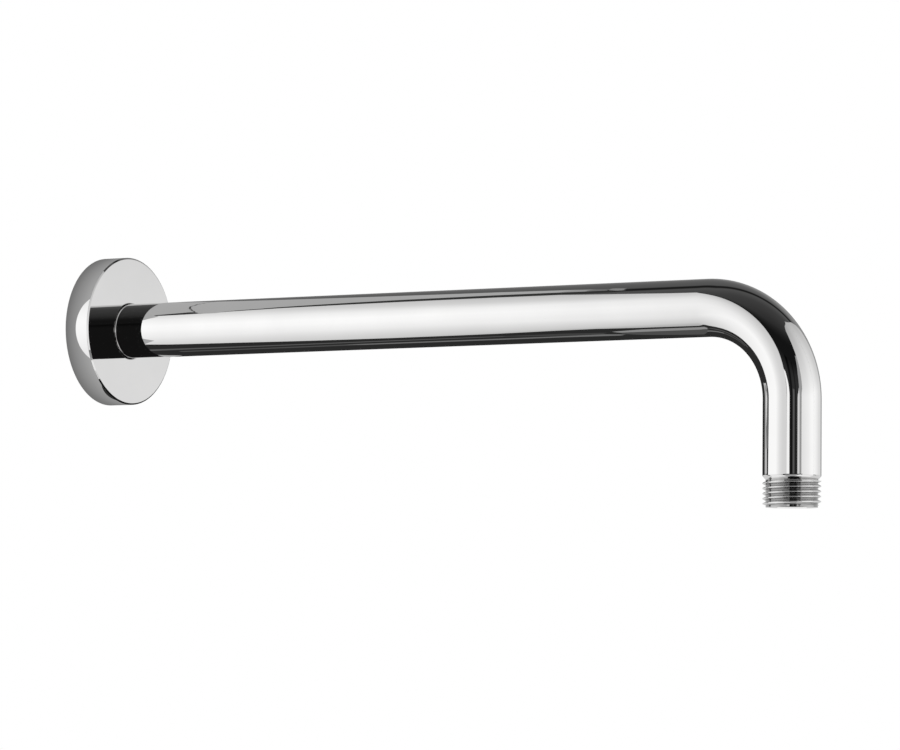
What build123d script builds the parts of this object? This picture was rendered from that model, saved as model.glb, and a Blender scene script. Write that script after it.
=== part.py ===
from build123d import *
import os

# Wall-mounted shower arm: a bent chromed brass tube with a male pipe thread on each end, and a round,
# hollow-backed wall flange that slides on the tube and is gripped by a rubber ring in its bore.
# Millimetres, +Z up. The origin is on the tube's axis in the wall plane, where the flange's rim rests.
# +X leads out from the wall along the tube, and the outlet points down.

# Tube
tube_diameter = 21.0
tube_wall = 2.5
reach = 300.0  # wall plane to the outlet's axis
outlet_drop = 72.5  # level run's axis to the outlet's end face
bend_radius = 34.0  # on the tube's centreline

# Pipe threads, turned on the tube's own ends and drawn here as plain spigots of crest diameter
thread_undersize = 0.045  # tube diameter to crest diameter: a 21 mm tube gives the 20.955 mm of G 1/2
thread_depth = 1.162  # crest to root
lead_in_flat = 0.7  # plain end of root diameter, in front of the thread
lead_in_flank = 0.45  # slope from that end up to the first crest
inlet_thread_length = 14.5  # end face to the edge of the shoulder
outlet_thread_length = 11.2
inlet_shoulder = 4.0  # in front of the wall plane, inside the flange
shoulder_taper = 1.4  # length over which the tube narrows to the thread's root
shoulder_round = 1.0  # where that taper leaves the tube
relief_flat = 0.15  # floor of the run-out groove between thread and taper
relief_flank = 0.2  # slope from the last crest down to that floor
bore_bevel = 0.5  # at both mouths of the waterway

# Wall flange
flange_diameter = 57.0
flange_thickness = 10.5
flange_face_wall = 3.0
flange_rim_wall = 2.5
front_edge_bevel = 0.6
back_edge_bevel = 0.3
cavity_bevel = 0.8  # in the corners of the hollow back
sliding_clearance = 0.2  # between the tube and the flange's bore, each side
bore_lip_bevel = 0.7  # bright ring around the tube
hub_wall = 4.5
hub_standoff = 2.5  # wall plane to the back of the hub

# Rubber ring in the flange's bore
ring_width = 2.6
ring_height = 2.2
ring_bevel = 0.5
ring_clearance = 0.05  # to the tube, and to the floor of its groove
groove_lip = 1.5  # hub's back to the groove
groove_play = 0.4  # groove width beyond the ring's own

tube_radius = tube_diameter / 2
bore_radius = tube_radius - tube_wall
crest_radius = tube_radius - thread_undersize / 2
root_radius = crest_radius - thread_depth
cut_radius = tube_radius + tube_wall
inlet_end = inlet_shoulder - inlet_thread_length
outlet_shoulder = outlet_thread_length - outlet_drop

flange_radius = flange_diameter / 2
rim_inner_radius = flange_radius - flange_rim_wall
cavity_floor = flange_thickness - flange_face_wall
flange_bore_radius = tube_radius + sliding_clearance
hub_radius = flange_bore_radius + hub_wall
groove_start = hub_standoff + groove_lip
groove_end = groove_start + ring_width + groove_play
groove_radius = tube_radius + ring_height + 2 * ring_clearance
ring_radius = tube_radius + ring_clearance + ring_height / 2

# Each threaded end: its plane, with local X along the radius and local Y into the tube, and its length
threaded_ends = (
    (Plane((inlet_end, 0, 0), x_dir=(0, 0, 1), z_dir=(0, 1, 0)), inlet_thread_length),
    (Plane((reach, 0, -outlet_drop), x_dir=(1, 0, 0), z_dir=(0, -1, 0)), outlet_thread_length),
)

os.makedirs("parts", exist_ok=True)

# Bent tube, swept along its centreline, then turned down at both ends
with BuildPart() as arm:
    with BuildLine(Plane.XZ):
        centreline = FilletPolyline((inlet_end, 0), (reach, 0), (reach, -outlet_drop), radius=bend_radius)
    with BuildSketch(Plane(centreline @ 0, z_dir=centreline % 0)):
        Circle(tube_radius)
        Circle(bore_radius, mode=Mode.SUBTRACT)
    sweep()
    for end_plane, thread_length in threaded_ends:
        with BuildSketch(end_plane):
            with BuildLine():
                Polyline(
                    (cut_radius, 0),
                    (root_radius, 0),
                    (root_radius, lead_in_flat),
                    (crest_radius, lead_in_flat + lead_in_flank),
                    (crest_radius, thread_length - shoulder_taper - relief_flat - relief_flank),
                    (root_radius, thread_length - shoulder_taper - relief_flat),
                    (root_radius, thread_length - shoulder_taper),
                    (tube_radius, thread_length),
                    (cut_radius, thread_length),
                    close=True,
                )
            make_face()
        revolve(axis=Axis(end_plane.origin, end_plane.y_dir), mode=Mode.SUBTRACT)
    fillet(arm.edges().filter_by_position(Axis.X, inlet_shoulder, inlet_shoulder), radius=shoulder_round)
    fillet(arm.edges().filter_by_position(Axis.Z, outlet_shoulder, outlet_shoulder), radius=shoulder_round)
    for end_face in (arm.faces().sort_by(Axis.X)[0], arm.faces().sort_by(Axis.Z)[0]):
        chamfer(end_face.inner_wires().edges(), length=bore_bevel)
arm.part.label = "arm"
export_step(arm.part, "parts/arm.step")

# Flange: a hollow cup with a hub around the tube and a groove for the ring inside the hub
with BuildPart() as wall_flange:
    with BuildSketch(Plane.XZ):
        with BuildLine():
            Polyline(
                (0, rim_inner_radius),
                (0, flange_radius),
                (flange_thickness, flange_radius),
                (flange_thickness, flange_bore_radius),
                (groove_end, flange_bore_radius),
                (groove_end, groove_radius),
                (groove_start, groove_radius),
                (groove_start, flange_bore_radius),
                (hub_standoff, flange_bore_radius),
                (hub_standoff, hub_radius),
                (cavity_floor, hub_radius),
                (cavity_floor, rim_inner_radius),
                close=True,
            )
        make_face()
    revolve(axis=Axis.X)
    outer_edges = wall_flange.edges().filter_by(GeomType.CIRCLE).group_by(SortBy.RADIUS)[-1]
    front_edge = outer_edges.sort_by(Axis.X)[-1]
    back_edge = outer_edges.sort_by(Axis.X)[0]
    bore_edges = wall_flange.edges().filter_by(GeomType.CIRCLE).group_by(SortBy.RADIUS)[0].sort_by(Axis.X)
    floor_edges = wall_flange.edges().filter_by_position(Axis.X, cavity_floor, cavity_floor)
    chamfer(front_edge, length=front_edge_bevel)
    chamfer(back_edge, length=back_edge_bevel)
    chamfer(floor_edges, length=cavity_bevel)
    chamfer([bore_edges[0], bore_edges[-1]], length=bore_lip_bevel)
wall_flange.part.label = "wall_flange"
export_step(wall_flange.part, "parts/wall_flange.step")

# Rubber ring, with bevelled corners, seated in the flange's groove
with BuildPart() as flange_seal_ring:
    with BuildSketch(Plane.XZ) as ring_section:
        with Locations(((groove_start + groove_end) / 2, ring_radius)):
            Rectangle(ring_width, ring_height)
        chamfer(ring_section.vertices(), length=ring_bevel)
    revolve(axis=Axis.X)
flange_seal_ring.part.label = "flange_seal_ring"
export_step(flange_seal_ring.part, "parts/flange_seal_ring.step")
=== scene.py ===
import math

import bmesh
import bpy
from mathutils import Matrix, Vector


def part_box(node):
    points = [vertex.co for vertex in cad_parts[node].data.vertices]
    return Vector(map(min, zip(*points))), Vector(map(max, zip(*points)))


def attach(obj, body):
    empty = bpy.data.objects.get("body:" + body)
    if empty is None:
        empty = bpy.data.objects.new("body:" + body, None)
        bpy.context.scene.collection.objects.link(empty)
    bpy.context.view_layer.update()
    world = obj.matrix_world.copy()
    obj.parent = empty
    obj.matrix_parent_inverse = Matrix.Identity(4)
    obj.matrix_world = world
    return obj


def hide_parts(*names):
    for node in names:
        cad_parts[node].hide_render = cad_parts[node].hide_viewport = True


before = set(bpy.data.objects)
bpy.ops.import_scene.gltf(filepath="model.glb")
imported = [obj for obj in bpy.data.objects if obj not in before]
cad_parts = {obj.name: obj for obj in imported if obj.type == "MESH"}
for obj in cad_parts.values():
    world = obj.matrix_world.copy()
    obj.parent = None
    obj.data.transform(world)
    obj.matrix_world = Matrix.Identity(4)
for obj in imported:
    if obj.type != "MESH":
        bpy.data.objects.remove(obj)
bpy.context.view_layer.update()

MM = 0.001
FULL_TURN = 2 * math.pi

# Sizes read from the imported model, in metres
arm_low, arm_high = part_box("arm")
flange_low, flange_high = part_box("wall_flange")
TUBE_RADIUS = arm_high.y
REACH = arm_high.x - TUBE_RADIUS
INLET_END = arm_low.x
OUTLET_DROP = -arm_low.z
FLANGE_RADIUS = flange_high.z

# Sizes repeated from the part's source
BORE_RADIUS = 8.0 * MM
BORE_BEVEL = 0.5 * MM
BEND_RADIUS = 34.0 * MM
CREST_RADIUS = 10.4775 * MM
THREAD_DEPTH = 1.162 * MM
LEAD_IN_FLAT = 0.7 * MM
LEAD_IN_FLANK = 0.45 * MM
INLET_THREAD = 14.5 * MM
OUTLET_THREAD = 11.2 * MM
SHOULDER_TAPER = 1.4 * MM
SHOULDER_ROUND = 1.0 * MM
RELIEF_FLAT = 0.15 * MM
RELIEF_FLANK = 0.2 * MM
FLANGE_FACE_WALL = 3.0 * MM
FLANGE_RIM_WALL = 2.5 * MM
FLANGE_BORE = 10.7 * MM
HUB_RADIUS = 15.2 * MM
HUB_STANDOFF = 2.5 * MM
GROOVE = (4.0 * MM, 7.0 * MM)
GROOVE_RADIUS = 12.8 * MM

# Edges of the flange as they catch the light, and how far the plating runs into the waterway
FRONT_BEVEL = (0.4 * MM, 0.6 * MM)  # along the axis and along the radius
FRONT_BEVEL_ROUND = 0.08 * MM
BACK_EDGE_ROUND = 0.3 * MM
RIM_INNER_ROUND = 0.06 * MM
BORE_LIP_ROUND = 0.45 * MM
HUB_EDGE_ROUND = 0.3 * MM
CAVITY_ROUND = 0.8 * MM
PLATED_MOUTH = 6.0 * MM

# Parallel pipe thread of 55 degrees with rounded crests and roots, right-handed
PITCH = 1.814 * MM
CREST_ROUND = 0.1373 * PITCH
FLANK_ANGLE = math.radians(27.5)
ROOT_RADIUS = CREST_RADIUS - THREAD_DEPTH
OUTLET_CREST = 63.98 * MM  # below the level run's axis, where a crest crosses the leg's left side
LEFT_SIDE = math.radians(148.0)  # that side, round the leg from the outer side of the bend

# Fineness of the meshes
AROUND = 144
FLANGE_AROUND = 224
THREAD_STEP = 0.07 * MM
RUN_STEP = 24 * MM
LEG_STEP = 8 * MM
BEND_STEPS = 90
BORE_BEND_STEPS = 40
CORNER_STEPS = 6
FLAT_GUARD = 0.04 * MM  # from a corner to the point that keeps the flat beside it flat
SHARP_ANGLE = math.radians(38)


# Mesh helpers
def new_object(name, data):
    thing = bpy.data.objects.new(name, data)
    bpy.context.scene.collection.objects.link(thing)
    return thing


def ring_mesh(name, rings, zones, materials):
    """A closed surface through a loop of rings of points. zones gives the material after each ring."""
    count, around = len(rings), len(rings[0])
    points = [point for ring in rings for point in ring]
    faces, indices = [], []
    for i in range(count):
        after = (i + 1) % count
        for j in range(around):
            k = (j + 1) % around
            faces.append((i * around + j, i * around + k, after * around + k, after * around + j))
            indices.append(zones[i])
    mesh = bpy.data.meshes.new(name)
    mesh.from_pydata(points, [], faces)
    for material in materials:
        mesh.materials.append(material)
    mesh.polygons.foreach_set("material_index", indices)
    form = bmesh.new()
    form.from_mesh(mesh)
    bmesh.ops.recalc_face_normals(form, faces=form.faces)
    form.to_mesh(mesh)
    form.free()
    mesh.polygons.foreach_set("use_smooth", [True] * len(mesh.polygons))
    mesh.set_sharp_from_angle(angle=SHARP_ANGLE)
    mesh.update()
    return new_object(name, mesh)


def rounded_loop(corners):
    """A closed section from corners (x, radius, rounding, zone): arcs at the corners, and beside each
    corner a guard point that keeps the flat there flat. Each point comes with the zone after it."""
    loop = []
    count = len(corners)
    for i, (x, radius, rounding, zone) in enumerate(corners):
        here = Vector((x, radius))
        back = (Vector(corners[i - 1][:2]) - here).normalized()
        ahead = (Vector(corners[(i + 1) % count][:2]) - here).normalized()
        half = math.acos(max(-1.0, min(1.0, back.dot(ahead)))) / 2
        zone_before = corners[i - 1][3]
        if rounding <= 0:
            loop.append((here + back * FLAT_GUARD, zone_before))
            loop.append((here, zone))
            loop.append((here + ahead * FLAT_GUARD, zone))
            continue
        reach = rounding / math.tan(half)
        centre = here + (back + ahead).normalized() * (rounding / math.sin(half))
        start = here + back * reach - centre
        end = here + ahead * reach - centre
        turn = start.angle_signed(end)
        loop.append((here + back * (reach + FLAT_GUARD), zone_before))
        for s in range(CORNER_STEPS + 1):
            angle = -turn * s / CORNER_STEPS
            c, n = math.cos(angle), math.sin(angle)
            spun = Vector((start.x * c - start.y * n, start.x * n + start.y * c))
            loop.append((centre + spun, zone if s > CORNER_STEPS / 2 else zone_before))
        loop.append((here + ahead * (reach + FLAT_GUARD), zone))
    return loop


def spread(start, end, step):
    """Even places from start to just before end, about a step apart."""
    count = max(1, round((end - start) / step))
    return [start + (end - start) * i / count for i in range(count)]


# Arm: rings along the tube, threaded at both ends, and back through the waterway
STRAIGHT = REACH - BEND_RADIUS - INLET_END
BEND = BEND_RADIUS * math.pi / 2
LEG = OUTLET_DROP - BEND_RADIUS
LENGTH = STRAIGHT + BEND + LEG
TUBE, OUTLET, INLET, BORE = range(4)  # the arm's materials, in this order


def along(distance):
    """Centre of the tube at a distance from the inlet's end, and the way to the outer side of the bend."""
    if distance <= STRAIGHT:
        return Vector((INLET_END + distance, 0, 0)), Vector((0, 0, 1))
    if distance >= STRAIGHT + BEND:
        return Vector((REACH, 0, -BEND_RADIUS - (distance - STRAIGHT - BEND))), Vector((1, 0, 0))
    turn = (distance - STRAIGHT) / BEND_RADIUS
    outer = Vector((math.sin(turn), 0, math.cos(turn)))
    return Vector((REACH - BEND_RADIUS, 0, -BEND_RADIUS)) + outer * BEND_RADIUS, outer


def thread_cut(turns):
    """Depth of the thread below its crest, at a distance in turns from the middle of a crest."""
    away = abs(turns - round(turns)) * PITCH
    edge = CREST_ROUND * math.cos(FLANK_ANGLE)
    if away < edge:
        return CREST_ROUND - math.sqrt(CREST_ROUND ** 2 - away ** 2)
    if away > PITCH / 2 - edge:
        rest = PITCH / 2 - away
        return THREAD_DEPTH - CREST_ROUND + math.sqrt(CREST_ROUND ** 2 - rest ** 2)
    drop = CREST_ROUND * (1 - math.sin(FLANK_ANGLE))
    return drop + (away - edge) / math.tan(FLANK_ANGLE)


def spigot_radius(depth, length):
    """Radius of a threaded end's crest line at a depth from its end face."""
    slope = (TUBE_RADIUS - ROOT_RADIUS) / SHOULDER_TAPER
    blend = SHOULDER_ROUND * math.tan(math.atan(slope) / 2)
    relief = length - SHOULDER_TAPER - RELIEF_FLAT
    if depth >= length + blend:
        return TUBE_RADIUS
    if depth >= length - blend:
        return TUBE_RADIUS - slope * (length + blend - depth) ** 2 / (4 * blend)
    if depth >= length - SHOULDER_TAPER:
        return ROOT_RADIUS + slope * (depth - length + SHOULDER_TAPER)
    if depth >= relief:
        return ROOT_RADIUS
    if depth >= relief - RELIEF_FLANK:
        return ROOT_RADIUS + THREAD_DEPTH * (relief - depth) / RELIEF_FLANK
    climb = (depth - LEAD_IN_FLAT) / LEAD_IN_FLANK
    return ROOT_RADIUS + THREAD_DEPTH * max(0.0, min(1.0, climb))


def threaded_radius(depth, length, turns):
    """Radius of a threaded end at a depth from its end face, with its thread cut in."""
    radius = spigot_radius(depth, length)
    if depth < length - SHOULDER_TAPER:
        radius = min(radius, CREST_RADIUS - thread_cut(turns))
    return radius


def outer_radius(distance, angle):
    """Radius of the tube's outside, at a distance from the inlet's end and an angle from the outer side."""
    from_outlet = LENGTH - distance
    if distance < INLET_THREAD + SHOULDER_ROUND:
        turns = distance / PITCH - angle / FULL_TURN
        return threaded_radius(distance, INLET_THREAD, turns)
    if from_outlet < OUTLET_THREAD + SHOULDER_ROUND:
        below_crest = OUTLET_DROP - from_outlet - OUTLET_CREST
        turns = below_crest / PITCH - (angle - LEFT_SIDE) / FULL_TURN
        return threaded_radius(from_outlet, OUTLET_THREAD, turns)
    return TUBE_RADIUS


def tube_ring(distance, radius_at):
    """A ring of points round the tube, with a radius for each angle from the outer side of the bend."""
    centre, outer = along(distance)
    front = Vector((0, -1, 0))
    angles = [FULL_TURN * j / AROUND for j in range(AROUND)]
    return [centre + (outer * math.cos(a) + front * math.sin(a)) * radius_at(a) for a in angles]


def outer_zone(distance):
    if distance < INLET_THREAD - SHOULDER_TAPER:
        return INLET
    if distance > LENGTH - OUTLET_THREAD + SHOULDER_TAPER:
        return OUTLET
    return TUBE


def arm_piece(materials):
    inlet_zone = INLET_THREAD + SHOULDER_ROUND
    outlet_zone = LENGTH - OUTLET_THREAD - SHOULDER_ROUND
    stations = spread(0.0, inlet_zone, THREAD_STEP)
    stations += spread(inlet_zone, STRAIGHT, RUN_STEP)
    stations += spread(STRAIGHT, STRAIGHT + BEND, BEND / BEND_STEPS)
    stations += spread(STRAIGHT + BEND, outlet_zone, LEG_STEP)
    stations += spread(outlet_zone, LENGTH, THREAD_STEP)
    stations.append(LENGTH)
    rings = [tube_ring(d, lambda angle: outer_radius(d, angle)) for d in stations]
    zones = [outer_zone(d) for d in stations]

    inside = [0.0, BORE_BEVEL, PLATED_MOUTH]
    inside += spread(STRAIGHT, STRAIGHT + BEND, BEND / BORE_BEND_STEPS)
    inside += [STRAIGHT + BEND, LENGTH - PLATED_MOUTH, LENGTH - BORE_BEVEL, LENGTH]
    for d in reversed(inside):
        radius = BORE_RADIUS + (BORE_BEVEL if d in (0.0, LENGTH) else 0.0)
        plated = d <= PLATED_MOUTH or d > LENGTH - PLATED_MOUTH
        rings.append(tube_ring(d, lambda angle: radius))
        zones.append(TUBE if plated else BORE)
    return ring_mesh("shower_arm_tube", rings, zones, materials)


# Flange: a turned cup with a hub round the tube, spun from its section
PLATED, TURNED = range(2)  # the flange's materials, in this order


def flange_piece(materials):
    front, rear = flange_high.x, flange_low.x
    hub_rear = rear + HUB_STANDOFF
    cavity = front - FLANGE_FACE_WALL
    rim_inner = FLANGE_RADIUS - FLANGE_RIM_WALL
    loop = rounded_loop([
        (rear, rim_inner, RIM_INNER_ROUND, TURNED),
        (rear, FLANGE_RADIUS, BACK_EDGE_ROUND, PLATED),
        (front - FRONT_BEVEL[0], FLANGE_RADIUS, FRONT_BEVEL_ROUND, PLATED),
        (front, FLANGE_RADIUS - FRONT_BEVEL[1], FRONT_BEVEL_ROUND, PLATED),
        (front, FLANGE_BORE, BORE_LIP_ROUND, PLATED),
        (GROOVE[1], FLANGE_BORE, 0, TURNED),
        (GROOVE[1], GROOVE_RADIUS, 0, TURNED),
        (GROOVE[0], GROOVE_RADIUS, 0, TURNED),
        (GROOVE[0], FLANGE_BORE, 0, TURNED),
        (hub_rear, FLANGE_BORE, BORE_LIP_ROUND, TURNED),
        (hub_rear, HUB_RADIUS, HUB_EDGE_ROUND, TURNED),
        (cavity, HUB_RADIUS, CAVITY_ROUND, TURNED),
        (cavity, rim_inner, CAVITY_ROUND, TURNED),
    ])
    angles = [FULL_TURN * j / FLANGE_AROUND for j in range(FLANGE_AROUND)]
    rings = []
    for point, zone in loop:
        rings.append([Vector((point.x, point.y * math.cos(a), point.y * math.sin(a))) for a in angles])
    zones = [zone for point, zone in loop]
    return ring_mesh("wall_flange_cover", rings, zones, materials)


# Node helpers
NOISE_RANGE = (0.3, 0.7)  # where most of a noise's values lie


def new_material(name):
    material = bpy.data.materials.new(name)
    material.use_nodes = True
    tree = material.node_tree
    tree.nodes.clear()
    return material, tree


def add(tree, kind, **settings):
    node = tree.nodes.new(kind)
    for key, value in settings.items():
        setattr(node, key, value)
    return node


def wire(tree, source, target):
    tree.links.new(source, target)


def object_place(tree):
    return add(tree, "ShaderNodeTexCoord").outputs["Object"]


def noise(tree, vector, scale, detail):
    node = add(tree, "ShaderNodeTexNoise")
    node.inputs["Scale"].default_value = scale
    node.inputs["Detail"].default_value = detail
    node.inputs["Roughness"].default_value = 0.55
    wire(tree, vector, node.inputs["Vector"])
    return node.outputs["Fac"]


def spread_of(tree, value, low, high, out_low=0.0, out_high=1.0):
    """A value's range from low to high, spread over another range and held at its ends."""
    node = add(tree, "ShaderNodeMapRange")
    for key, number in (("From Min", low), ("From Max", high), ("To Min", out_low), ("To Max", out_high)):
        node.inputs[key].default_value = number
    wire(tree, value, node.inputs["Value"])
    return node.outputs["Result"]


def ramp(tree, value, colours):
    """A colour from a value between 0 and 1, by (place, colour) pairs. A single number is a grey."""
    node = add(tree, "ShaderNodeValToRGB")
    elements = node.color_ramp.elements
    while len(elements) < len(colours):
        elements.new(0.5)
    for element, (place, colour) in zip(elements, colours):
        element.position = place
        element.color = (*colour, 1.0) if isinstance(colour, tuple) else (colour, colour, colour, 1.0)
    wire(tree, value, node.inputs["Fac"])
    return node.outputs["Color"]


def calculate(tree, operation, first, second):
    """Two values put together by a maths operation. The second may be a plain number."""
    node = add(tree, "ShaderNodeMath", operation=operation)
    wire(tree, first, node.inputs[0])
    if isinstance(second, float):
        node.inputs[1].default_value = second
    else:
        wire(tree, second, node.inputs[1])
    return node.outputs["Value"]


def multiply(tree, first, second):
    """Two colours multiplied."""
    node = add(tree, "ShaderNodeMix", data_type="RGBA", blend_type="MULTIPLY")
    node.inputs["Factor"].default_value = 1.0
    wire(tree, first, node.inputs["A"])
    wire(tree, second, node.inputs["B"])
    return node.outputs["Result"]


def surface(tree):
    """A principled surface, wired to the material's output."""
    shader = add(tree, "ShaderNodeBsdfPrincipled")
    wire(tree, shader.outputs["BSDF"], add(tree, "ShaderNodeOutputMaterial").inputs["Surface"])
    return shader


def emboss(tree, shader, height, strength, depth):
    relief = add(tree, "ShaderNodeBump")
    relief.inputs["Strength"].default_value = strength
    relief.inputs["Distance"].default_value = depth
    wire(tree, height, relief.inputs["Height"])
    wire(tree, relief.outputs["Normal"], shader.inputs["Normal"])


# Materials
CHROME = (0.866, 0.863, 0.86)
THREAD_CHROME = (0.86, 0.858, 0.855)
TURNED_CHROME = (0.78, 0.785, 0.79)
BRASS = (0.62, 0.46, 0.22)
RUBBER_DARK = (0.012, 0.012, 0.013)
RUBBER_PALE = (0.03, 0.03, 0.031)
RUBBER_ROUGH = (0.55, 0.75)
DULLING = 0.97  # of a metal's colour, where it drifts darkest
ROOT_PAINTED_SHADE = ((0.0, 0.5), (0.3, 0.55), (0.75, 0.95), (1.0, 1.0))  # painted shade, darkest at a thread's root and none at its crest


def turning_marks(tree, place, scale):
    wave = add(tree, "ShaderNodeTexWave", wave_type="RINGS", rings_direction="X")
    wave.inputs["Scale"].default_value = scale
    wave.inputs["Distortion"].default_value = 0.4
    wire(tree, place, wave.inputs["Vector"])
    return wave.outputs["Fac"]


def metal(name, colour, rough, grain, bump, stretch=(1, 1, 1), rings=None):
    """Plated or bare metal: drifting gloss and fine tool marks, or rings of turning marks."""
    material, tree = new_material(name)
    shader = surface(tree)
    shader.inputs["Metallic"].default_value = 1.0
    place = object_place(tree)
    drift = noise(tree, place, scale=55.0, detail=3.0)
    dulled = tuple(part * DULLING for part in colour)
    tint = ramp(tree, drift, ((NOISE_RANGE[0], dulled), (NOISE_RANGE[1], colour)))
    wire(tree, tint, shader.inputs["Base Color"])
    wire(tree, spread_of(tree, drift, *NOISE_RANGE, *rough), shader.inputs["Roughness"])
    if rings:
        marks = turning_marks(tree, place, rings)
    else:
        stretched = add(tree, "ShaderNodeMapping")
        stretched.inputs["Scale"].default_value = stretch
        wire(tree, place, stretched.inputs["Vector"])
        marks = noise(tree, stretched.outputs["Vector"], scale=grain, detail=2.0)
    emboss(tree, shader, marks, strength=bump, depth=0.02 * MM)
    return material


def paint_root_shade(material, origin, across):
    """Paint shade into a thread's plating by its distance from the thread's axis: painted shade in the roots,
    full colour at the crests. across has a 1 for each direction at right angles to that axis."""
    tree = material.node_tree
    base = tree.nodes["Principled BSDF"].inputs["Base Color"]
    plating = base.links[0].from_socket
    from_origin = add(tree, "ShaderNodeVectorMath", operation="SUBTRACT")
    from_origin.inputs[1].default_value = origin
    wire(tree, object_place(tree), from_origin.inputs[0])
    from_axis = add(tree, "ShaderNodeVectorMath", operation="MULTIPLY")
    from_axis.inputs[1].default_value = across
    wire(tree, from_origin.outputs["Vector"], from_axis.inputs[0])
    distance = add(tree, "ShaderNodeVectorMath", operation="LENGTH")
    wire(tree, from_axis.outputs["Vector"], distance.inputs[0])
    height = spread_of(tree, distance.outputs["Value"], ROOT_RADIUS, CREST_RADIUS)
    wire(tree, multiply(tree, plating, ramp(tree, height, ROOT_PAINTED_SHADE)), base)


def rubber(name):
    material, tree = new_material(name)
    shader = surface(tree)
    place = object_place(tree)
    cloud = noise(tree, place, scale=220.0, detail=3.0)
    grain = noise(tree, place, scale=2600.0, detail=4.0)
    wire(tree, ramp(tree, cloud, ((0.0, RUBBER_DARK), (1.0, RUBBER_PALE))), shader.inputs["Base Color"])
    wire(tree, spread_of(tree, grain, *NOISE_RANGE, *RUBBER_ROUGH), shader.inputs["Roughness"])
    emboss(tree, shader, grain, strength=0.25, depth=0.03 * MM)
    return material


tube_chrome = metal("tube_chrome", CHROME, rough=(0.012, 0.03), grain=900.0, bump=0.02, stretch=(0.05, 1, 1))
flange_chrome = metal("flange_chrome", CHROME, rough=(0.012, 0.03), grain=900.0, bump=0.02)
# Both threaded ends carry painted shade, darker towards their thread roots
outlet_chrome = metal("outlet_chrome", THREAD_CHROME, rough=(0.02, 0.05), grain=2200.0, bump=0.05)
paint_root_shade(outlet_chrome, origin=(REACH, 0, 0), across=(1, 1, 0))
inlet_chrome = metal("inlet_chrome", THREAD_CHROME, rough=(0.02, 0.05), grain=2200.0, bump=0.05)
paint_root_shade(inlet_chrome, origin=(0, 0, 0), across=(0, 1, 1))
bore_brass = metal("bore_brass", BRASS, rough=(0.28, 0.42), grain=1500.0, bump=0.5)
turned_chrome = metal("turned_chrome", TURNED_CHROME, rough=(0.16, 0.26), grain=900.0, bump=0.5, rings=520.0)
seal_rubber = rubber("seal_rubber")

# Arm and flange, which stand for their solids
arm = arm_piece([tube_chrome, outlet_chrome, inlet_chrome, bore_brass])
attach(arm, "arm")
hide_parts("arm")

flange = flange_piece([flange_chrome, turned_chrome])
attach(flange, "flange")
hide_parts("wall_flange")

# Rubber ring, shown as the solid itself
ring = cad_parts["flange_seal_ring"]
ring.data.materials.clear()
ring.data.materials.append(seal_rubber)
ring.data.polygons.foreach_set("use_smooth", [True] * len(ring.data.polygons))

# Camera at the photograph's viewing angle, with its angles in degrees
CAMERA_PLACE = Vector((1137.485, -1577.081, -145.755)) * MM
CAMERA_AZIMUTH = 31.8885
CAMERA_ELEVATION = -3.8386
CAMERA_ROLL = 0.4653
FOCAL_PIXELS = 5007.06
IMAGE_WIDTH = 900
SENSOR_WIDTH = 36.0


def heading(azimuth, elevation):
    """A direction by its azimuth from the front, positive to the right, and its elevation."""
    a, e = math.radians(azimuth), math.radians(elevation)
    return Vector((math.sin(a) * math.cos(e), -math.cos(a) * math.cos(e), math.sin(e)))


def place_camera():
    azimuth, roll = math.radians(CAMERA_AZIMUTH), math.radians(CAMERA_ROLL)
    forward = -heading(CAMERA_AZIMUTH, CAMERA_ELEVATION)
    level = Vector((math.cos(azimuth), math.sin(azimuth), 0))
    upright = level.cross(forward)
    right = level * math.cos(roll) + upright * math.sin(roll)
    up = upright * math.cos(roll) - level * math.sin(roll)
    data = bpy.data.cameras.new("camera")
    data.sensor_fit = "HORIZONTAL"
    data.sensor_width = SENSOR_WIDTH
    data.lens = FOCAL_PIXELS * SENSOR_WIDTH / IMAGE_WIDTH
    camera = new_object("camera", data)
    turned = Matrix((right, up, -forward)).transposed().to_4x4()
    camera.matrix_world = Matrix.Translation(CAMERA_PLACE) @ turned
    bpy.context.scene.camera = camera


place_camera()
bpy.context.scene.view_settings.view_transform = "Standard"

# Stage: cards that the chrome mirrors, which light nothing and which no camera sees
LEG_PLACE = Vector((REACH, 0, -45 * MM))  # on the leg's axis, in the middle of the panels
LEG_AZIMUTH = math.degrees(math.atan2(CAMERA_PLACE.x - REACH, -CAMERA_PLACE.y))
PANEL_STEPS = 48
RIM_STEPS = 96
RIM_BANDS = 6
RIM_SHADOW_REACH = 14.0  # mm from the hole over which the painted shadow of the flange on the card behind it fades out
PLAIN = ((0.0, 1.0), (1.0, 1.0))


def stage_object(name, points, faces, material, places=None):
    """A thing of the stage. places gives each point's place on a shaded card."""
    mesh = bpy.data.meshes.new(name)
    mesh.from_pydata(points, [], faces)
    if places:
        layer = mesh.uv_layers.new(name="face")
        for loop in mesh.loops:
            layer.data[loop.index].uv = places[loop.vertex_index]
    mesh.materials.append(material)
    thing = new_object(name, mesh)
    return thing


def reflections_only(thing):
    thing.visible_camera = False
    thing.visible_diffuse = False
    thing.visible_shadow = False
    thing.visible_volume_scatter = False


def glowing(name):
    """A new material that only glows, with its node tree and the socket of its colour."""
    material, tree = new_material(name)
    glow = add(tree, "ShaderNodeEmission")
    wire(tree, glow.outputs["Emission"], add(tree, "ShaderNodeOutputMaterial").inputs["Surface"])
    return material, tree, glow.inputs["Color"]


def card(name, points, faces, places, across, up=PLAIN):
    """A glowing card, with tones across its face and factors up it."""
    material, tree, colour = glowing(name)
    split = add(tree, "ShaderNodeSeparateXYZ")
    wire(tree, add(tree, "ShaderNodeTexCoord").outputs["UV"], split.inputs["Vector"])
    tones = ramp(tree, split.outputs["X"], across)
    factors = ramp(tree, split.outputs["Y"], up)
    wire(tree, multiply(tree, tones, factors), colour)
    reflections_only(stage_object(name, points, faces, material, places))


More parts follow.
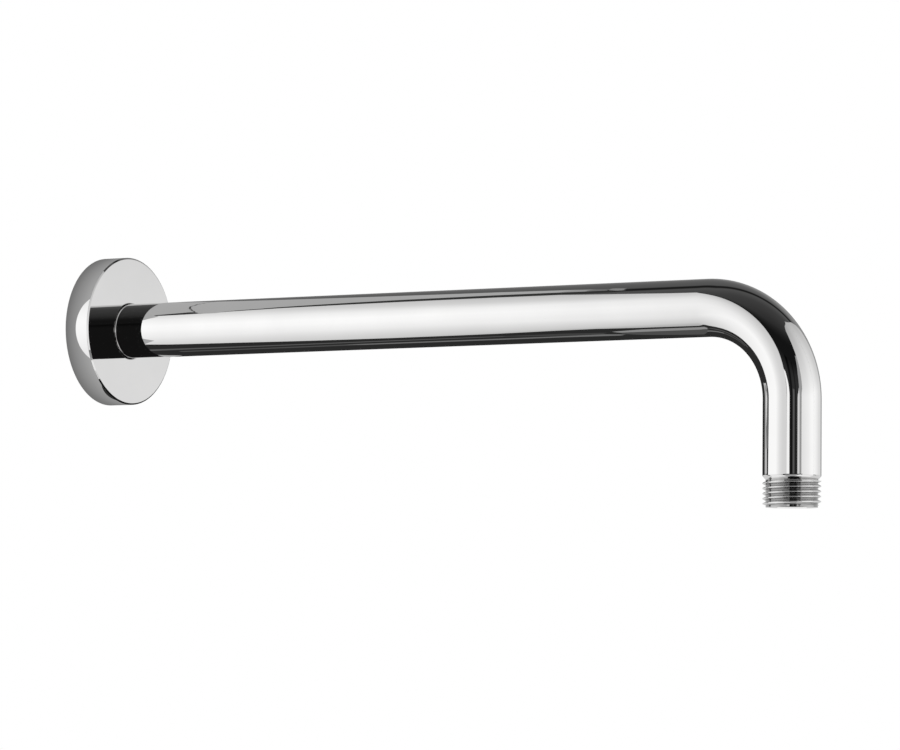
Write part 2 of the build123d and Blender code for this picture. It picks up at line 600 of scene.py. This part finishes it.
def between(value, table):
    """A value read from a table of (value, result) pairs in rising order, straight between them."""
    for (low, at_low), (high, at_high) in zip(table, table[1:]):
        if value <= high:
            return at_low + (at_high - at_low) * max(0.0, (value - low) / (high - low))
    return table[-1][1]


def stops(shading, low, high):
    """Shading by (place, tone) pairs, with its places from low to high brought to 0 to 1."""
    return tuple(((place - low) / (high - low), tone) for place, tone in shading)


def panel(name, radius, rows, across, up=None):
    """A curved panel round the leg. Its rows are (elevation, first azimuth, last azimuth) from low to
    high, with azimuths from the camera's. across gives tones by azimuth, and up factors by elevation."""
    low, high = rows[0][0], rows[-1][0]
    first = min(start for elevation, start, end in rows)
    last = max(end for elevation, start, end in rows)
    starts = [(elevation, start) for elevation, start, end in rows]
    ends = [(elevation, end) for elevation, start, end in rows]
    points, places, faces = [], [], []
    for i in range(PANEL_STEPS + 1):
        v = i / PANEL_STEPS
        elevation = low + (high - low) * v
        start, end = between(elevation, starts), between(elevation, ends)
        for j in range(PANEL_STEPS + 1):
            azimuth = start + (end - start) * j / PANEL_STEPS
            points.append(LEG_PLACE + heading(LEG_AZIMUTH + azimuth, elevation) * radius)
            places.append(((azimuth - first) / (last - first), v))
    row = PANEL_STEPS + 1
    for i in range(PANEL_STEPS):
        for j in range(PANEL_STEPS):
            a = i * row + j
            faces.append((a, a + 1, a + row + 1, a + row))
    factors = stops(up, low, high) if up else PLAIN
    card(name, points, faces, places, stops(across, first, last), factors)


def plain_card(name, points, faces, tone):
    middle = [(0.5, 0.5)] * len(points)
    card(name, points, faces, middle, across=((0.0, tone), (1.0, tone)))


def upright_card(name, x, outline, tone):
    """A flat card across the tube's axis, with its corners given as (y, z) in mm."""
    points = [Vector((x, y, z)) * MM for y, z in outline]
    plain_card(name, points, [tuple(range(len(points)))], tone)


def level_card(name, z, outline, tone):
    """A flat card below the tube, with its corners given as (x, y) in mm."""
    points = [Vector((x, y, z)) * MM for x, y in outline]
    plain_card(name, points, [tuple(range(len(points)))], tone)


def corner_card(name, track, heights, tone):
    """Upright cards along a track of (x, y) points, between two heights in mm."""
    points = [Vector((x, y, z)) * MM for z in heights for x, y in track]
    count = len(track)
    faces = [(i, i + 1, count + i + 1, count + i) for i in range(count - 1)]
    plain_card(name, points, faces, tone)


def rim_card(name, x, low, high, hole, outward):
    """A card behind the flange between two (y, z) corners, holed for it, with painted shadow fading outwards.
    """
    points, places, faces = [], [], []
    for s in range(RIM_STEPS):
        angle = FULL_TURN * s / RIM_STEPS
        y, z = math.cos(angle), math.sin(angle)
        sides = ((y, low[0], high[0]), (z, low[1], high[1]))
        rim = min((end if part > 0 else start) / part for part, start, end in sides if part)
        for b in range(RIM_BANDS + 1):
            r = hole + (rim - hole) * b / RIM_BANDS
            points.append(Vector((x, y * r, z * r)) * MM)
            places.append(((r - hole) / RIM_SHADOW_REACH, 0.5))
    row = RIM_BANDS + 1
    for s in range(RIM_STEPS):
        for b in range(RIM_BANDS):
            a, c = s * row + b, (s + 1) % RIM_STEPS * row + b
            faces.append((a, a + 1, c + 1, c))
    card(name, points, faces, places, outward)


# Two soft boxes with rounded corners, and the dim gap that the camera looks through between them
panel(
    "softbox_left", radius=1.4,
    rows=(
        (-60, -140, -125), (-55, -140, -80), (-50, -140, -60), (-42, -140, -44), (-35, -140, -40),
        (-8, -140, -32), (-3, -140, -21), (22, -140, -21), (27.5, -140, -24.5), (32.5, -140, -28.5),
        (37.5, -140, -36), (42.5, -140, -47.5), (47.5, -140, -69.5), (50, -134, -78), (52.3, -127, -83.5),
        (54.3, -117, -93), (55.5, -107, -101),
    ),
    across=((-140, 1.1), (-66, 1.13), (-56, 0.98), (-48, 0.87), (-37, 0.775), (-21, 0.75)),
    up=(
        (-60, 0.38), (-53, 0.5), (-49, 0.62), (-23, 0.87), (-2, 0.98), (11, 1.0),
        (20, 0.95), (28.5, 0.89), (36, 0.78), (43, 0.66), (50, 0.6), (55.5, 0.53),
    ),
)
panel(
    "softbox_edge", radius=1.38,
    rows=((-4, -23, -10), (6, -20, -10), (10, -20, -12), (14.5, -22, -17)),
    across=((-23, 0.8), (-18, 1.05), (-9, 1.05)),
)
panel(
    "gap_dim", radius=1.45,
    rows=((-3, -22, 45), (26, -22, 45)),
    across=(
        (-22, 0.03), (-7, 0.03), (-6, 0.008), (1, 0.008), (2, 0.03),
        (11, 0.03), (12, 0.015), (15, 0.015), (16, 0.03), (45, 0.03),
    ),
    up=((-3, 1.0), (13, 1.0), (18, 0.8), (22, 0.5), (26, 0.3)),
)
panel("camera_glint", radius=1.38, rows=((-2, 3, 9.5), (9, 3, 9.5)), across=((3, 0.1), (9.5, 0.1)))
panel(
    "softbox_right", radius=1.3,
    rows=(
        (-42, 55, 95), (-36, 43, 95), (-8, 43, 95), (-3, 37, 95), (7, 37, 95), (10, 40.5, 95),
        (40, 43, 95), (47, 45, 95), (52, 48, 95), (55.5, 52, 95), (58.5, 66, 95),
    ),
    across=((37, 0.88), (44, 0.9), (60, 0.968), (68, 1.0), (76, 1.065), (84, 1.1), (95, 1.09)),
    up=((-42, 0.65), (-30, 0.8), (-10, 1.0), (5, 1.0), (15, 0.885), (30, 0.755), (45, 0.6), (58.5, 0.45)),
)
panel(
    "softbox_far", radius=0.8,
    rows=(
        (-13, 95, 160), (0, 95, 168), (7, 95, 168), (11, 95, 158), (26, 95, 149), (31, 95, 144.5),
        (36, 95, 139.5), (46, 95, 126.5), (51, 95, 116), (54, 95, 108), (58, 95, 96),
    ),
    across=(
        (95, 1.09), (104, 1.035), (112, 0.968), (118, 0.92), (127, 0.83),
        (144, 0.78), (150, 0.55), (158, 0.3), (168, 0.2),
    ),
    up=((-13, 1.0), (8, 1.0), (15, 0.9), (30, 0.78), (45, 0.62), (58, 0.48)),
)
panel(
    "strip_light", radius=1.28,
    rows=((-3, 21.4, 29.5), (5, 21.4, 29.5), (11, 28, 29.5)),
    across=((21.4, 0.72), (29.5, 0.72)),
)
panel(
    "strip_grey", radius=1.28,
    rows=((-3, 29.5, 36.5), (6, 29.5, 36.5), (10, 28, 40), (20, 29.5, 41), (34, 37, 42.5)),
    across=((28, 0.35), (42.5, 0.35)),
)

# Cards under, behind and before the outlet, which its thread mirrors
UNDER_OUTLET = -130  # mm, the height of the level ones
level_card(
    "under_outlet", UNDER_OUTLET,
    ((205, -60), (287, -60), (293, -25), (324, -16), (391, -60), (420, -60), (420, 110), (205, 110)),
    tone=0.95,
)
level_card("under_front", UNDER_OUTLET, ((287, -60), (391, -60), (324, -16), (293, -25)), tone=0.4)
corner_card("behind_outlet", ((273, -8), (276, 8), (288, 22), (330, 24)), heights=(-100, -63), tone=0.7)
corner_card("before_outlet", ((297, -93), (378, -49)), heights=(-200, -92), tone=0.25)

# Cards behind the flange: dark flats, a grey card with a dark seam above the tube, and thin strips below it
FLATS = -80  # mm along the tube's axis, each layer in front of the last
GREYS = -79
SEAM = -78
SEAM_WIDTH = 1.3
SEAM_TRACK = ((140, 136), (100, 159), (58, 175), (6, 183), (-30, 183), (-62, 178), (-82, 171))
upright_card(
    "flat_upper", FLATS,
    (
        (-100, 0), (30, 0), (30, 545), (-112, 545), (-112, 470), (-97, 430), (-90, 342), (-92, 256),
        (-91, 243), (-96, 225), (-98, 205), (-101, 190), (-106, 182), (-109, 175), (-105, 170),
        (-102, 165), (-100, 155), (-95, 140), (-78, 100), (-80, 50), (-98, 20),
    ),
    tone=0.035,
)
upright_card(
    "flat_lower", FLATS,
    (
        (520, 0), (-100, 0), (-98, -20), (-84, -40), (-78, -60), (-78, -100), (-63, -160), (-65, -215),
        (-60, -262), (-58, -345), (-70, -400), (-82, -432), (-105, -460), (-126, -482), (-145, -512),
        (-128, -557), (-125, -720), (520, -720),
    ),
    tone=0.026,
)
upright_card(
    "grey_card", GREYS,
    (
        (-85, 130), (-76, 160), (-71, 172), (-81, 174), (-97, 167), (-107, 170), (-109, 175), (-105, 182),
        (-96, 190), (-86, 207), (-81, 225), (-70, 241), (-58, 267), (-22, 350), (0, 438), (2, 495),
        (112, 495), (140, 413), (143, 318), (143, 60), (-70, 60),
    ),
    tone=0.44,
)
seam_underside = tuple((y, z - SEAM_WIDTH) for y, z in reversed(SEAM_TRACK))
upright_card("grey_seam", SEAM, SEAM_TRACK + seam_underside, tone=0.03)
upright_card("grey_tip", GREYS, ((2, 495), (112, 495), (95, 517), (-5, 519)), tone=0.34)
upright_card("grey_point", GREYS, ((-5, 519), (95, 517), (75, 535), (0, 540)), tone=0.18)
upright_card(
    "grey_eye", GREYS,
    ((-30, 548), (10, 542), (60, 537), (110, 533), (80, 552), (20, 556), (-30, 556)), tone=0.26,
)
upright_card("leg_strip", GREYS, ((-25, -43), (95, -43), (95, 40), (-25, 40)), tone=0.55)
upright_card(
    "strip_inner", GREYS,
    ((2, -150), (27, -150), (42, -267), (46, -349), (47, -440), (24, -440), (18, -340), (15, -240)),
    tone=0.11,
)
upright_card(
    "strip_inner_low", GREYS,
    ((24, -440), (47, -440), (120, -475), (145, -515), (60, -535), (20, -500)), tone=0.06,
)
upright_card(
    "strip_outer", GREYS,
    ((52, -165), (72, -205), (90, -290), (132, -290), (118, -240), (76, -158)), tone=0.085,
)
upright_card(
    "strip_outer_low", GREYS,
    (
        (90, -290), (130, -415), (145, -465), (140, -515), (188, -522), (258, -486),
        (206, -445), (188, -395), (132, -290),
    ),
    tone=0.18,
)
# Card behind the flange, with a painted shadow of the flange darkest round its hole
rim_card(
    "rim_card", x=-0.4, low=(-35.8, -36.3), high=(45, 40), hole=28.0,
    outward=((0.0, 0.17), (0.4, 0.29), (1.0, 0.43)),
)

# Pale edge of a table below the bend
TABLE_HEIGHT = -245
level_card("table_edge", TABLE_HEIGHT, ((93, 4), (107, -22), (150, -22), (150, 33), (95, 33)), tone=0.3)
level_card("table_dim", TABLE_HEIGHT, ((95, 33), (150, 33), (150, 230), (81, 230)), tone=0.085)

# Dark tent behind the panels: a roof with a black line across it, and a dim patch low on the left
STAGE_MIDDLE = 0.15  # along the tube's axis, and the tent's places below are in metres from there
TENT_RADIUS = 1.7
TENT_WIDE = 48
TENT_TALL = 24
TENT_TOP = 89.9  # degrees, just short of the pole
TENT_DARK = 0.008
TENT_PATCH = 0.085
ROOF_STRAIGHT = -0.45  # left of this place the roof's bands no longer slant
ROOF_BANDS = (
    (-2.0, 0.012), (-1.5, 0.03), (-1.0, 0.045), (-0.5, 0.055), (-0.2, 0.07), (0.15, 0.088), (0.25, 0.045),
    (0.32, 0.012), (0.5, 0.012), (0.58, 0.045), (0.66, 0.095), (1.0, 0.105), (2.0, 0.11),
)
ROOF_TO_REAR = ((-1.7, 1.0), (0.6, 1.0), (1.0, 1.2), (1.2, 1.5), (1.5, 2.6), (1.7, 2.8))
ROOF_EDGE = (1.0, 1.3)  # in this pair and the next four, where a change begins and where it is complete
REAR_EDGE = (0.33, 0.37)
REAR_FOOT = (-0.1, 0.2)
PATCH_SIDE = (-0.2, -0.5)
PATCH_TOP = (-0.6, -0.9)


def shade(tree, value, shading):
    """Tones by a value, from (value, tone) pairs in rising order."""
    low, high = shading[0][0], shading[-1][0]
    return ramp(tree, spread_of(tree, value, low, high), stops(shading, low, high))


def tent():
    material, tree, colour = glowing("tent")
    split = add(tree, "ShaderNodeSeparateXYZ")
    wire(tree, object_place(tree), split.inputs["Vector"])
    x, y, z = split.outputs["X"], split.outputs["Y"], split.outputs["Z"]
    slant = calculate(tree, "SUBTRACT", y, calculate(tree, "MAXIMUM", x, ROOF_STRAIGHT))
    roof = multiply(tree, shade(tree, slant, ROOF_BANDS), shade(tree, y, ROOF_TO_REAR))
    at_rear = calculate(tree, "MULTIPLY", spread_of(tree, y, *REAR_EDGE), spread_of(tree, z, *REAR_FOOT))
    roofed = calculate(tree, "MAXIMUM", at_rear, spread_of(tree, z, *ROOF_EDGE))
    low_left = calculate(tree, "MULTIPLY", spread_of(tree, x, *PATCH_SIDE), spread_of(tree, z, *PATCH_TOP))
    whole = add(tree, "ShaderNodeMix", data_type="RGBA")
    wire(tree, roofed, whole.inputs["Factor"])
    wire(tree, ramp(tree, low_left, ((0.0, TENT_DARK), (1.0, TENT_PATCH))), whole.inputs["A"])
    wire(tree, roof, whole.inputs["B"])
    wire(tree, whole.outputs["Result"], colour)
    points, faces = [], []
    for i in range(TENT_TALL + 1):
        elevation = -TENT_TOP + 2 * TENT_TOP * i / TENT_TALL
        points += [heading(360 * j / TENT_WIDE, elevation) * TENT_RADIUS for j in range(TENT_WIDE)]
    for i in range(TENT_TALL):
        below, above = i * TENT_WIDE, (i + 1) * TENT_WIDE
        for j in range(TENT_WIDE):
            k = (j + 1) % TENT_WIDE
            faces.append((below + j, below + k, above + k, above + j))
    thing = stage_object("tent", points, faces, material)
    thing.location = (STAGE_MIDDLE, 0, 0)
    reflections_only(thing)


tent()

# Floor: pale, lit by the lamp and the room, fading to white away from the part and clear from below
FLOOR_COLOUR = (0.82, 0.82, 0.82, 1)
FLOOR_HEIGHT = -0.26
FLOOR_RADIUS = 6.0
FLOOR_SIDES = 64
FLOOR_FADE = (0.5, 1.6)  # metres from its middle


def floor():
    material, tree = new_material("floor")
    matt = add(tree, "ShaderNodeBsdfDiffuse")
    matt.inputs["Color"].default_value = FLOOR_COLOUR
    white = add(tree, "ShaderNodeEmission")
    clear = add(tree, "ShaderNodeBsdfTransparent")
    away = add(tree, "ShaderNodeVectorMath", operation="LENGTH")
    wire(tree, object_place(tree), away.inputs[0])
    fade = add(tree, "ShaderNodeMixShader")
    wire(tree, spread_of(tree, away.outputs["Value"], *FLOOR_FADE), fade.inputs["Fac"])
    wire(tree, matt.outputs["BSDF"], fade.inputs[1])
    wire(tree, white.outputs["Emission"], fade.inputs[2])
    from_below = add(tree, "ShaderNodeMixShader")
    wire(tree, add(tree, "ShaderNodeNewGeometry").outputs["Backfacing"], from_below.inputs["Fac"])
    wire(tree, fade.outputs["Shader"], from_below.inputs[1])
    wire(tree, clear.outputs["BSDF"], from_below.inputs[2])
    wire(tree, from_below.outputs["Shader"], add(tree, "ShaderNodeOutputMaterial").inputs["Surface"])
    points = [heading(360 * j / FLOOR_SIDES, 0) * FLOOR_RADIUS for j in range(FLOOR_SIDES)]
    thing = stage_object("floor", points, [tuple(range(FLOOR_SIDES))], material)
    thing.location = (STAGE_MIDDLE, 0, FLOOR_HEIGHT)
    thing.visible_glossy = False


floor()

# Light: a large lamp overhead, and a white room that shows at full strength but lights at less
LAMP_SIZE = 1.0
LAMP_POWER = 11.0
LAMP_PLACE = (0.1, -0.25, 1.25)
LAMP_TILT = math.radians(11)
ROOM_LIGHT = 0.6


def hang_lamp():
    data = bpy.data.lights.new("overhead", "AREA")
    data.size = LAMP_SIZE
    data.energy = LAMP_POWER
    lamp = new_object("overhead", data)
    lamp.location = LAMP_PLACE
    lamp.rotation_euler = (LAMP_TILT, 0, 0)
    lamp.visible_glossy = False
    lamp.visible_camera = False


def light_room():
    world = bpy.data.worlds.new("room")
    bpy.context.scene.world = world
    world.use_nodes = True
    tree = world.node_tree
    tree.nodes.clear()
    path = add(tree, "ShaderNodeLightPath")
    seen = calculate(tree, "MAXIMUM", path.outputs["Is Camera Ray"], path.outputs["Is Glossy Ray"])
    pick = add(tree, "ShaderNodeMixShader")
    wire(tree, seen, pick.inputs["Fac"])
    for socket, strength in ((pick.inputs[1], ROOM_LIGHT), (pick.inputs[2], 1.0)):
        backdrop = add(tree, "ShaderNodeBackground")
        backdrop.inputs["Color"].default_value = (1, 1, 1, 1)
        backdrop.inputs["Strength"].default_value = strength
        wire(tree, backdrop.outputs["Background"], socket)
    wire(tree, pick.outputs["Shader"], add(tree, "ShaderNodeOutputWorld").inputs["Surface"])


hang_lamp()
light_room()
